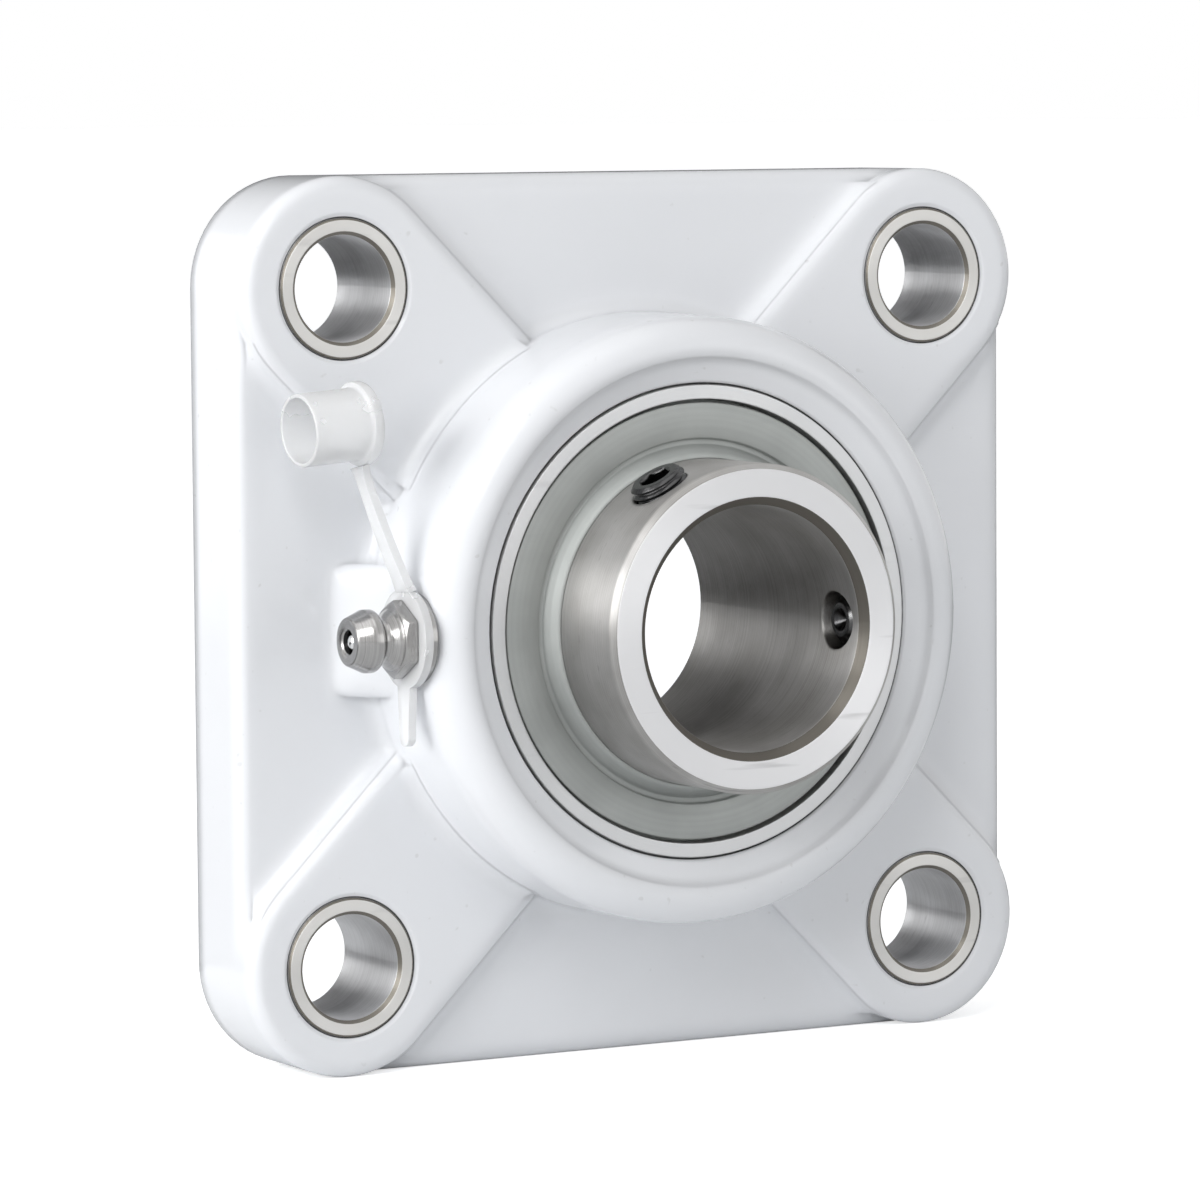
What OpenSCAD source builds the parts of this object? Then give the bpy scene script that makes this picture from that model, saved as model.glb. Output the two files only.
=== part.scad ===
// Four-bolt flange bearing: a moulded housing with a self-aligning insert bearing for a 1 inch shaft.
// Millimetres. X is to the right, Z is up, the shaft axis lies along Y, the front looks towards -Y,
// and the mounting face lies in the plane Y = 0 with the origin on the shaft axis.
// Each module draws its piece facing up, with its height above the mounting face along its own Z
// axis, and front() then turns that height towards the front of the unit.

/* [Flange plate] */
// Side of the square plate
plate_side = 93; // [88:0.5:110]
// Thickness of the plate between its corners
plate_t = 10; // [8:0.1:12]
// Radius of the plate's corners and of the corner bosses around the bolt holes
corner_r = 11.5; // [10.5:0.1:13]
// Height of the corner bosses and of the diagonal webs above the mounting face
boss_h = 12.5; // [11:0.1:14.5]
// Radius of the rounded outer edges
edge_round = 1.2; // [0.5:0.1:1.6]
// Radius of the hollow fillets at the foot of the webs and of the corner bosses
foot_round = 1.8; // [0.8:0.1:2.2]

/* [Back of the plate] */
// Depth of the cored pockets in the mounting face
pocket_depth = 6; // [3:0.1:7]
// Width of one pocket
pocket_w = 7.6; // [5:0.1:8]
// Thickness of the ribs between two pockets
rib_t = 2; // [1.5:0.1:4]
// Thickness of the wall left around the pockets
pocket_wall = 3; // [2:0.1:4]

/* [Hub] */
// Wall of the hub around the middle of the spherical seat
hub_wall = 5.7; // [5:0.1:7]
// Height of the lip above the mounting face
hub_h = 26.1; // [25.6:0.1:27.5]
// Radius of the rounded outer shoulder of the lip
lip_round = 3.7; // [2:0.1:4]
// Radius of the hollow fillets around the foot of the hub
hub_foot_round = 1.5; // [0.8:0.1:2.2]
// Widening of the hub's radius from the lip down to the plate
hub_draft = 0.2; // [0:0.05:0.6]
// Distance from the outer ring's sphere to the edge where the shallow bowl meets the lip
bowl_w = 1.3; // [0.6:0.1:1.6]
// Drop from the lip to the outer edge of the bowl
bowl_drop = 0.8; // [0.3:0.1:1.1]

/* [Insert bearing] */
// Diameter of the spherical outer ring and of its seat
seat_d = 52; // [51.5:0.1:52.5]
// Height of the bearing's centre above the mounting face
centre_h = 16; // [15.8:0.1:16.2]
// Width of the outer ring
outer_ring_w = 17; // [16.6:0.1:17.2]
// Bore of the inner ring
bore_d = 25.4; // [24:0.1:25.6]
// Distance from the circle through the ball centres in to the surface of the inner ring
inner_shoulder = 2.25; // [2:0.05:2.5]
// Length of the inner ring
inner_ring_l = 34.1; // [33:0.1:35]
// Length of the inner ring behind the bearing's centre
inner_ring_back = 14.3; // [13:0.1:15]
// Diameter of a ball
ball_d = 7.938; // [7.8:0.001:8]
// Distance of the circle through the ball centres from the middle between the bore and the sphere
pitch_shift = 0.1; // [0:0.05:0.2]
// Radial clearance of the spherical seat
seat_clearance = 0.05; // [0.02:0.01:0.1]

/* [Seals and flingers] */
// Distance from the outer ring's sphere to the wall of the recess that holds a seal and a flinger
recess_wall = 2.85; // [2.7:0.05:2.95]
// Depth of the seat of a seal below the outer ring's face
seal_depth = 2.7; // [2.5:0.1:2.9]
// Thickness of the sheet of a seal washer and a flinger
sheet_t = 0.6; // [0.4:0.05:0.7]
// Gap between a flinger's edge and the recess
flinger_gap = 0.35; // [0.25:0.05:1]
// Width of the step between a flinger's face and the inner ring
flinger_step_w = 1.4; // [1.2:0.1:2]

/* [Set screws] */
// Thread diameter of a set screw
screw_d = 6; // [5:0.5:6]
// Length of a set screw
screw_l = 5; // [4:0.1:6]
// Width across the flats of the hexagon socket
screw_socket = 3; // [2.5:0.5:3]
// Distance of the set screws in front of the bearing's centre
screw_offset = 14.8; // [14:0.1:15.2]
// Distance from the bore to the cup point of the upper set screw at rest
screw_upper_back = 0.5; // [0.2:0.1:1.3]
// Distance from the bore to the cup point of the side set screw at rest
screw_side_back = 0.3; // [0.2:0.1:1.3]

/* [Bolt bushes] */
// Outer diameter of a bolt bush
bush_d = 14.5; // [13:0.1:15]
// Hole through a bolt bush
bolt_hole_d = 11; // [9:0.1:11.4]
// Radial clearance of a bush in the housing
bush_clearance = 0.05; // [0.02:0.01:0.1]

/* [Grease nipple] */
// Depth of the flat that the nipple's insert sits on below the hub's side
nipple_flat = 0.5; // [0.1:0.1:0.9]
// Height of the nipple's axis above the mounting face
nipple_h = 20.5; // [20:0.1:20.8]
// Sideways place of the nipple's axis, below the shaft axis
nipple_drop = 0.5; // [0:0.1:1.5]
// Diameter of the insert's flange
insert_flange_d = 9.3; // [9:0.1:10]
// Thickness of the insert's flange
insert_flange_t = 0.7; // [0.5:0.1:1]
// Thread diameter of the nipple
nipple_thread_d = 6; // [5.5:0.1:6]
// Width across the flats of the nipple's hexagon
nipple_hex = 7; // [6.6:0.1:8]
// Thickness of the hexagon
nipple_hex_t = 1.4; // [1:0.1:2]
// Diameter of the nipple's head
nipple_head_d = 6.5; // [6.3:0.1:6.7]
// Length from the hexagon to the nipple's mouth
nipple_nose = 4.9; // [4.6:0.1:5.4]

/* [Dust cap] */
// Outer diameter of the ring that holds the cap under the hexagon
cap_ring_d = 10.2; // [9.4:0.1:11]
// Thickness of the ring, the strap and the pull tab
cap_sheet_t = 0.9; // [0.6:0.1:1.2]
// Outer diameter of the cap
cap_d = 7.5; // [7.4:0.1:8]
// Length of the cap
cap_l = 7.7; // [7:0.1:9]
// Diameter of the collar around the closed end of the cap
cap_collar_d = 8.7; // [8.4:0.1:9.4]
// Distance from the nipple's axis up to the cap's axis
cap_rise = 22; // [20:0.1:23]
// Length of the pull tab beyond the ring
tab_l = 5.9; // [4:0.1:6.2]

/* [Hidden] */
$fn = 64;
// Overlap that lets a cut pass cleanly through a face
eps = 0.5;

// Flange plate and hub
half = plate_side / 2;
lobe_r = corner_r;
bolt_at = half - corner_r;
sphere_r = seat_d / 2;
hub_r = sphere_r + hub_wall;
hub_foot_r = hub_r + hub_draft;
lip_r = hub_r - lip_round;
bowl_r = sphere_r + bowl_w;
bowl_h = hub_h - bowl_drop;
seat_r = sphere_r + seat_clearance;
mouth_h = centre_h + outer_ring_w / 2;
mouth_r = sqrt(pow(seat_r, 2) - pow(outer_ring_w / 2, 2));
mouth_gap = 0.4;
back_r = mouth_r + 0.2;
back_h = centre_h - outer_ring_w / 2;
pocket_hub_gap = 3.5;
hub_wall_r = seat_r + pocket_hub_gap;
slot_w = outer_ring_w + 0.4;
fillet_gap = 0.2;

// Ramp below the grease nipple
pad_w = 13.7;
pad_drop = 0.3;
pad_ramp_h = 15.2;
nipple_seat = hub_r - nipple_flat;
pad_run = 4.6;
pad_foot = nipple_seat + pad_run;
pad_round = 1.2;
pad_sink = 3;
grease_hole_r = 1.5;

// Insert bearing
ball_count = 9;
ball_r = ball_d / 2;
bore_r = bore_d / 2;
recess_r = sphere_r - recess_wall;
pitch_r = (bore_r + sphere_r) / 2 - pitch_shift;
inner_r = pitch_r - inner_shoulder;
race_clearance = 0.02;
groove_r = 0.52 * ball_d;
inner_groove_at = pitch_r - ball_r - race_clearance + groove_r;
outer_groove_at = pitch_r + ball_r + race_clearance - groove_r;
shoulder_r = recess_r - 1.55;
inner_front = inner_ring_l - inner_ring_back;
outer_half_w = outer_ring_w / 2;
seal_seat = outer_half_w - seal_depth;
bore_chamfer = 0.9;
rim_chamfer = 0.6;
press = 0.02;
lube_groove_w = 2.4;
lube_groove_deep = 0.7;
lube_at = nipple_h - centre_h;

// Cage
cage_play = 0.08;
cage_sheet = 0.6;
cage_r = pitch_r;
cage_w = 0.522 * (shoulder_r - inner_r);
rivet_r = cage_w / 4;
rivet_head_r = 0.42 * cage_w;
rivet_head_t = 0.4;

// Seals and flingers
lip_play = 0.05;
flinger_r = recess_r - flinger_gap;
flinger_step_r = inner_r + flinger_step_w;
flinger_face = outer_half_w - 0.4;
flinger_collar_t = 0.9;
flinger_collar_l = 1.6;

// Set screws
screw_play = 0.05;
screw_upper_angle = 120;
screw_side_angle = 0;
screw_upper_r = bore_r + screw_upper_back;
screw_side_r = bore_r + screw_side_back;
socket_deep = 2.4;

// Grease nipple, measured outwards from the flat on the hub
thread_r = nipple_thread_d / 2;
insert_r = thread_r + 0.6;
insert_l = 4;
ring_play = 0.05;
ring_from = insert_flange_t + ring_play;
hex_from = ring_from + cap_sheet_t + ring_play;
nose_from = hex_from + nipple_hex_t;
nose_end = nose_from + nipple_nose;
neck_r = nipple_head_d / 2 - 1;
head_r = nipple_head_d / 2;
mouth_face_r = head_r - 0.85;
duct_r = 1.25;
nipple_ball_r = 1.15;
nipple_lip_t = 0.5;
nipple_ball_at = nose_end - nipple_lip_t - nipple_ball_r + 0.35;
stub_l = insert_l - 0.2;
spring_wire = 0.3;
spring_turns = 5;
spring_from = 1.2;
coil_r = duct_r - spring_wire / 2 - 0.1;
spring_to = nipple_ball_at - sqrt(pow(nipple_ball_r + spring_wire / 2 + 0.03, 2) - pow(coil_r, 2));

// Dust cap: its ring lies in the plane under the hexagon, its strap leans outwards to the cap
cap_wall = 0.45;
cap_end_t = 1.2;
cap_out = 5.4;
cap_tilt = 4;
cap_lean = 2;
strap_w_low = 2.9;
strap_w_high = 2.2;
strap_end_t = 0.4;
strap_inset = strap_end_t / 2 + 0.06;
ring_mid = nipple_seat + ring_from + cap_sheet_t / 2;

// Turns a piece drawn facing up so that its top looks towards the front
module front() rotate([90, 0, 0]) children();

// Turns a piece drawn facing up so that it points out of the hub at the nipple's place
module at_nipple() front() translate([-nipple_seat, -nipple_drop, nipple_h]) rotate([0, -90, 0]) children();

// Hollow fillet in the corner at the origin, between the X axis and the Y axis
module hollow_fillet(r) difference() {
    translate([-eps, -eps]) square(r + eps);
    translate([r, r]) circle(r);
}

// Upright profile of height h whose outer top corner at x = w is rounded
module rounded_step(w, h, r) {
    square([w, h - r]);
    square([w - r, h]);
    translate([w - r, h - r]) circle(r);
}

// Cuts a round along a straight edge of the plate
module edge_cutter() rotate([90, 0, 0]) linear_extrude(plate_side, center = true) difference() {
    translate([half - edge_round, plate_t - edge_round]) square(edge_round + eps);
    translate([half - edge_round, plate_t - edge_round]) circle(edge_round);
}

module plate() difference() {
    union() {
        translate([-half, -bolt_at, 0]) cube([plate_side, 2 * bolt_at, plate_t]);
        translate([-bolt_at, -half, 0]) cube([2 * bolt_at, plate_side, plate_t]);
    }
    for (a = [0:90:270]) rotate(a) edge_cutter();
}

// Corner boss with the diagonal web that runs from it into the hub, and the fillets at their foot
module corner() translate([bolt_at, bolt_at, 0]) rotate(45) {
    rotate(-90) rotate_extrude(angle = 180) rounded_step(lobe_r, boss_h, edge_round);
    rotate([90, 0, -90]) linear_extrude(bolt_at) for (s = [0, 1]) mirror([s, 0]) {
        rounded_step(lobe_r, boss_h, edge_round);
        translate([lobe_r, plate_t]) hollow_fillet(foot_round);
    }
}

// Fillets between a corner boss and the plate, which end short of the plate's rounded edges
module corner_fillets() intersection() {
    translate([bolt_at, bolt_at, 0]) rotate(45) for (s = [0, 1]) mirror([0, s, 0])
        rotate(-90) rotate_extrude(angle = 45) translate([lobe_r, plate_t]) hollow_fillet(foot_round);
    cube([half - edge_round - fillet_gap, half - edge_round - fillet_gap, boss_h]);
}

// Hub with a rounded lip, a shallow bowl and a flat for the nipple on its left side
module hub() difference() {
    hub_body();
    translate([-half, -pad_drop - pad_w / 2, pad_ramp_h - pad_sink / 2])
        cube([half - nipple_seat, pad_w, hub_h]);
}

module hub_body() rotate_extrude() {
    polygon([
        [back_r - 2, 0], [hub_foot_r, 0], [hub_foot_r, plate_t], [hub_r, hub_h - lip_round],
        [lip_r, hub_h], [bowl_r + 0.3, hub_h - 0.1], [bowl_r, bowl_h],
        [mouth_r + mouth_gap, mouth_h], [mouth_r - 1, mouth_h]
    ]);
    intersection() {
        translate([lip_r, hub_h - lip_round]) circle(lip_round);
        translate([lip_r, hub_h - lip_round]) square(lip_round);
    }
    translate([hub_foot_r, plate_t]) hollow_fillet(hub_foot_round);
}

// Fillet between the hub and the top of the webs
module hub_web_fillet() intersection() {
    rotate_extrude() translate([hub_foot_r, boss_h]) hollow_fillet(hub_foot_round);
    for (a = [45, 135]) rotate(a)
        translate([-half, edge_round + fillet_gap - lobe_r, 0])
            cube([plate_side, 2 * (lobe_r - edge_round - fillet_gap), hub_h]);
}

// Ramp below the nipple, from the plate up to the flat on the hub's side
module nipple_ramp() {
    rise = pad_ramp_h - plate_t;
    run = pad_foot - nipple_seat;
    translate([-pad_foot, -pad_drop, plate_t]) rotate([0, atan2(run, rise), 0]) translate([0, 0, -pad_sink])
        linear_extrude(norm([rise, run]) + 2 * pad_sink) {
            translate([0, pad_round - pad_w / 2]) square([pad_sink, pad_w - 2 * pad_round]);
            translate([pad_round, -pad_w / 2]) square([pad_sink - pad_round, pad_w]);
            for (s = [-1, 1]) translate([pad_round, s * (pad_w / 2 - pad_round)]) circle(pad_round);
        }
}

// Cored pockets in the mounting face, between the hub, the webs and the plate's rim
module pockets() for (a = [0:90:270]) rotate(a) translate([0, 0, -eps]) linear_extrude(pocket_depth + eps)
    difference() {
        intersection() {
            field = lobe_r * sqrt(2);
            polygon([[0, 0], [half - pocket_wall - field, half - pocket_wall],
                     [field - half + pocket_wall, half - pocket_wall]]);
            for (i = [-2:2]) translate([i * (pocket_w + rib_t) - pocket_w / 2, 0]) square([pocket_w, half]);
        }
        circle(hub_wall_r);
    }

module housing() color([0.9, 0.91, 0.92]) front() difference() {
    union() {
        plate();
        for (a = [0:90:270]) rotate(a) { corner(); corner_fillets(); }
        hub();
        hub_web_fillet();
        nipple_ramp();
    }
    // Spherical seat, the opening behind it and the two slots through which the bearing is loaded
    translate([0, 0, centre_h]) sphere(seat_r);
    translate([0, 0, -eps]) cylinder(r = back_r, h = back_h + eps);
    intersection() {
        translate([0, 0, -eps]) cylinder(r = seat_r, h = centre_h + eps);
        translate([-slot_w / 2, -seat_d, -eps]) cube([slot_w, 2 * seat_d, centre_h + eps]);
    }
    translate([0, 0, mouth_h - 1]) cylinder(r1 = mouth_r - 0.2, r2 = mouth_r + mouth_gap, h = 1 + 0.01);
    pockets();
    for (x = [-1, 1], y = [-1, 1]) translate([x * bolt_at, y * bolt_at, 0]) {
        translate([0, 0, -eps]) cylinder(d = bush_d + 2 * bush_clearance, h = boss_h + 2 * eps);
        translate([0, 0, boss_h - 0.3])
            cylinder(d1 = bush_d + 2 * bush_clearance, d2 = bush_d + 1.1, h = 0.3 + 0.01);
    }
    translate([-nipple_seat, -nipple_drop, nipple_h]) rotate([0, 90, 0]) {
        translate([0, 0, -eps]) cylinder(r = insert_r, h = insert_l + eps);
        cylinder(r = grease_hole_r, h = nipple_seat - seat_r + 1);
    }
}

// Bush that takes the clamping load of a bolt
module bush(x, y) color([0.72, 0.71, 0.69]) front() translate([x * bolt_at, y * bolt_at, 0]) difference() {
    rotate_extrude() polygon([
        [0, 0], [bush_d / 2, 0], [bush_d / 2, boss_h - 0.25], [bush_d / 2 - 0.25, boss_h], [0, boss_h]
    ]);
    translate([0, 0, -eps]) cylinder(d = bolt_hole_d, h = boss_h + 2 * eps);
    translate([0, 0, boss_h - 0.4]) cylinder(d1 = bolt_hole_d, d2 = bolt_hole_d + 0.81, h = 0.41);
}
module bush_upper_left() bush(-1, 1);
module bush_upper_right() bush(1, 1);
module bush_lower_left() bush(-1, -1);
module bush_lower_right() bush(1, -1);

// Threaded insert in the hub, with a flange against the flat
module nipple_insert() color([0.66, 0.65, 0.62]) at_nipple() difference() {
    union() {
        cylinder(d = insert_flange_d, h = insert_flange_t);
        translate([0, 0, -insert_l]) cylinder(r = insert_r, h = insert_l);
    }
    translate([0, 0, -insert_l - eps]) cylinder(r = thread_r, h = insert_l + insert_flange_t + 2 * eps);
}

module grease_nipple() color([0.7, 0.7, 0.7]) at_nipple() difference() {
    union() {
        translate([0, 0, -stub_l]) cylinder(r = thread_r, h = stub_l + hex_from + 0.1);
        translate([0, 0, hex_from]) cylinder(d = nipple_hex / cos(30), h = nipple_hex_t, $fn = 6);
        rotate_extrude() polygon([
            [0, nose_from - 0.3], [nipple_hex / 2 - 0.05, nose_from - 0.3], [nipple_hex / 2 - 0.1, nose_from],
            [nipple_hex / 2 - 0.45, nose_from + 0.5], [neck_r + 0.15, nose_from + 0.9],
            [neck_r, nose_from + 1.3], [neck_r + 0.2, nose_from + 1.6], [head_r - 0.1, nose_from + 2.1],
            [head_r, nose_from + 2.4], [head_r, nose_from + 3.1], [head_r - 0.1, nose_from + 3.4],
            [mouth_face_r + 0.1, nose_end - 0.1], [mouth_face_r, nose_end], [0, nose_end]
        ]);
    }
    translate([0, 0, -stub_l - eps]) cylinder(r = 0.9, h = stub_l + spring_from + eps);
    translate([0, 0, spring_from]) cylinder(r = duct_r, h = nipple_ball_at - spring_from);
    translate([0, 0, nipple_ball_at]) sphere(nipple_ball_r + 0.05);
    translate([0, 0, nipple_ball_at]) cylinder(r = nipple_ball_r - 0.25, h = nose_end);
    translate([0, 0, nose_end - 0.25]) cylinder(r1 = nipple_ball_r - 0.25, r2 = nipple_ball_r + 0.2, h = 0.26);
}

module nipple_ball() color([0.8, 0.8, 0.8]) at_nipple() translate([0, 0, nipple_ball_at]) sphere(nipple_ball_r);

// Coil spring behind the nipple's ball, swept along its helix
module nipple_spring() {
    rise = spring_to - spring_from - spring_wire / 2;
    steps = 14 * spring_turns;
    sides = 6;
    ring = [for (i = [0:steps], k = [0:sides - 1])
        let (a = 360 * spring_turns * i / steps, w = 360 * k / sides, r = coil_r + spring_wire / 2 * cos(w))
        [r * cos(a), r * sin(a), spring_from + spring_wire / 2 + rise * i / steps + spring_wire / 2 * sin(w)]];
    walls = [for (i = [0:steps - 1], k = [0:sides - 1])
        let (n = (k + 1) % sides)
        [i * sides + k, (i + 1) * sides + k, (i + 1) * sides + n, i * sides + n]];
    color([0.6, 0.6, 0.6]) at_nipple() polyhedron(ring, concat(
        walls, [[for (k = [0:sides - 1]) k]], [[for (k = [sides - 1:-1:0]) steps * sides + k]]
    ));
}

// Ring of the dust cap around the nipple's thread, with the pull tab below it
module cap_ring() color([0.9, 0.91, 0.93]) at_nipple() translate([0, 0, ring_from]) linear_extrude(cap_sheet_t)
    difference() {
        union() {
            circle(d = cap_ring_d);
            translate([0, -cap_ring_d / 2 - tab_l + 1]) {
                circle(1);
                translate([-1, 0]) square([2, tab_l]);
            }
            polygon([[-1, -cap_ring_d / 2 - tab_l + 1], [1, -cap_ring_d / 2 - tab_l + 1],
                     [strap_w_low / 2, 1 - cap_ring_d / 2], [-strap_w_low / 2, 1 - cap_ring_d / 2]]);
        }
        circle(thread_r + 0.06);
    }

// Strap between the ring and the cap
module cap_strap() color([0.9, 0.91, 0.93]) front() hull() {
    translate([-ring_mid, cap_ring_d / 2 + strap_inset - nipple_drop, nipple_h])
        cube([cap_sheet_t, strap_end_t, strap_w_low], center = true);
    translate([-nipple_seat - cap_out, cap_rise - nipple_drop - cap_collar_d / 2 - strap_inset, nipple_h - cap_lean])
        cube([cap_sheet_t, strap_end_t, strap_w_high], center = true);
}

// Cap, hanging open with its mouth outwards
module cap_cup() color([0.92, 0.93, 0.95]) front()
    translate([-nipple_seat - cap_out, cap_rise - nipple_drop, nipple_h - cap_lean])
        rotate([0, cap_tilt - 90, cap_tilt]) translate([0, 0, -cap_end_t / 2]) difference() {
            union() {
                cylinder(d = cap_collar_d, h = cap_end_t);
                cylinder(d = cap_d, h = cap_l);
            }
            translate([0, 0, cap_end_t]) cylinder(r = cap_d / 2 - cap_wall, h = cap_l);
        }

// Raceway groove with its centre at radius at
module groove(at) translate([at, 0]) circle(groove_r);

// Spherical outer ring, with a raceway, two recesses and a grooved and drilled grease passage
module outer_ring() color([0.76, 0.76, 0.75]) front() translate([0, 0, centre_h]) difference() {
    rotate_extrude() difference() {
        intersection() {
            circle(sphere_r);
            translate([shoulder_r, -outer_half_w]) square([seat_d, outer_ring_w]);
        }
        groove(outer_groove_at);
        for (s = [0, 1]) mirror([0, s]) translate([0, seal_seat]) square([recess_r, outer_half_w]);
        translate([sqrt(pow(sphere_r, 2) - pow(lube_at, 2)) - lube_groove_deep, lube_at - lube_groove_w / 2])
            square([2, lube_groove_w]);
    }
    for (a = [90, 270]) rotate(a) translate([0, 0, lube_at]) rotate([0, 90, 0]) cylinder(r = 0.9, h = seat_d);
}

// Inner ring with its raceway and the two tapped holes of the set screws
module inner_ring() color([0.7, 0.69, 0.67]) front() translate([0, 0, centre_h]) difference() {
    rotate_extrude() difference() {
        polygon([
            [bore_r, bore_chamfer - inner_ring_back], [bore_r + bore_chamfer, -inner_ring_back],
            [inner_r - rim_chamfer, -inner_ring_back], [inner_r, rim_chamfer - inner_ring_back],
            [inner_r, inner_front - rim_chamfer], [inner_r - rim_chamfer, inner_front],
            [bore_r + bore_chamfer, inner_front], [bore_r, inner_front - bore_chamfer]
        ]);
        groove(inner_groove_at);
    }
    for (a = [screw_upper_angle, screw_side_angle]) rotate(a) translate([0, 0, screw_offset]) rotate([0, 90, 0])
        cylinder(r = screw_d / 2 + screw_play, h = 2 * inner_r);
}

// Cup-pointed set screw with a hexagon socket, its point at radius at
module set_screw(a, at) color([0.12, 0.12, 0.12]) front() rotate(a)
    translate([at, 0, centre_h + screw_offset]) rotate([0, 90, 0]) difference() {
        cylinder(d = screw_d, h = screw_l);
        translate([0, 0, screw_l - socket_deep]) cylinder(d = screw_socket / cos(30), h = socket_deep + eps, $fn = 6);
        translate([0, 0, -0.01]) cylinder(r1 = screw_d / 4, r2 = 0.2, h = 1);
        translate([0, 0, screw_l - 0.5]) difference() {
            cylinder(d = screw_d + 2, h = 1);
            cylinder(r1 = screw_d / 2, r2 = screw_d / 2 - 1, h = 1);
        }
        translate([0, 0, -0.5]) difference() {
            cylinder(d = screw_d + 2, h = 1.1);
            translate([0, 0, -0.01]) cylinder(r1 = screw_d / 4 - 0.1, r2 = screw_d / 2 + 0.01, h = 1.12);
        }
    }
module set_screw_upper() set_screw(screw_upper_angle, screw_upper_r);
module set_screw_side() set_screw(screw_side_angle, screw_side_r);

// Angle of ball i
function ball_angle(i) = 90 + 360 * (i - 1) / ball_count;

// One pressed half of the cage: a flat band with a round pocket over each ball
module cage_half() difference() {
    intersection() {
        rotate_extrude() translate([cage_r - cage_w / 2, 0]) square([cage_w, ball_d]);
        union() {
            cylinder(r = recess_r, h = cage_sheet);
            for (i = [1:ball_count]) rotate(ball_angle(i)) translate([pitch_r, 0, 0])
                sphere(ball_r + cage_play + cage_sheet);
        }
    }
    for (i = [1:ball_count]) rotate(ball_angle(i)) translate([pitch_r, 0, 0]) sphere(ball_r + cage_play);
    for (i = [1:ball_count]) rotate(ball_angle(i + 0.5)) translate([pitch_r, 0, -eps])
        cylinder(r = rivet_r, h = cage_sheet + 2 * eps);
}
module cage_front() color([0.66, 0.66, 0.65]) front() translate([0, 0, centre_h]) cage_half();
module cage_rear() color([0.66, 0.66, 0.65]) front() translate([0, 0, centre_h]) mirror([0, 0, 1]) cage_half();

// Rivets that join the two halves of the cage
module cage_rivets() color([0.6, 0.6, 0.6]) front() translate([0, 0, centre_h])
    for (i = [1:ball_count]) rotate(ball_angle(i + 0.5)) translate([pitch_r, 0, 0]) {
        cylinder(r = rivet_r, h = 2 * (cage_sheet + rivet_head_t), center = true);
        for (s = [0, 1]) mirror([0, 0, s]) translate([0, 0, cage_sheet]) cylinder(r = rivet_head_r, h = rivet_head_t);
    }

module ball(i) color([0.85, 0.85, 0.85]) front() rotate(ball_angle(i)) translate([pitch_r, 0, centre_h])
    sphere(ball_r);
module ball_1() ball(1);
module ball_2() ball(2);
module ball_3() ball(3);
module ball_4() ball(4);
module ball_5() ball(5);
module ball_6() ball(6);
module ball_7() ball(7);
module ball_8() ball(8);
module ball_9() ball(9);

// Places a seal piece on the front side or, mirrored, on the rear side of the bearing
module on_side(rear) front() translate([0, 0, centre_h]) mirror([0, 0, rear ? 1 : 0]) children();

// Steel washer seated in the outer ring's recess
module seal_washer(rear) color([0.6, 0.62, 0.62]) on_side(rear) rotate_extrude()
    translate([inner_r + 1.6, seal_seat]) square([recess_r - press - inner_r - 1.6, sheet_t]);
module seal_washer_front() seal_washer(false);
module seal_washer_rear() seal_washer(true);

// Rubber lip bonded to the washer's inner edge
module seal_lip(rear) color([0.15, 0.13, 0.13]) on_side(rear) rotate_extrude() polygon([
    [inner_r + 1.6, seal_seat - 0.2], [inner_r + 1.6, seal_seat + sheet_t + 0.2], [inner_r + 0.8, seal_seat + 0.8],
    [inner_r + lip_play, seal_seat + 1], [inner_r + lip_play, seal_seat + 0.7], [inner_r + 0.8, seal_seat - 0.2]
]);
module seal_lip_front() seal_lip(false);
module seal_lip_rear() seal_lip(true);

// Sheet-metal disc that turns with the inner ring in front of a seal
module flinger(rear) color([0.62, 0.65, 0.65]) on_side(rear) rotate_extrude() {
    translate([flinger_step_r - sheet_t, flinger_face - sheet_t])
        square([flinger_r - flinger_step_r + sheet_t, sheet_t]);
    translate([inner_r + press, flinger_face - flinger_collar_t]) square([flinger_step_r - inner_r - press, sheet_t]);
    translate([inner_r + press, flinger_face - flinger_collar_t])
        square([flinger_collar_t, flinger_collar_l]);
}
module flinger_front() flinger(false);
module flinger_rear() flinger(true);

housing();
bush_upper_left();
bush_upper_right();
bush_lower_left();
bush_lower_right();
nipple_insert();
grease_nipple();
nipple_ball();
nipple_spring();
cap_ring();
cap_strap();
cap_cup();
outer_ring();
inner_ring();
set_screw_upper();
set_screw_side();
cage_front();
cage_rear();
cage_rivets();
ball_1();
ball_2();
ball_3();
ball_4();
ball_5();
ball_6();
ball_7();
ball_8();
ball_9();
seal_washer_front();
seal_lip_front();
flinger_front();
seal_washer_rear();
seal_lip_rear();
flinger_rear();
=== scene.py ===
"""Four-bolt flange bearing: finishes, turned and threaded pieces, light and camera."""
import math

import bpy
from mathutils import Matrix, Vector


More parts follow.
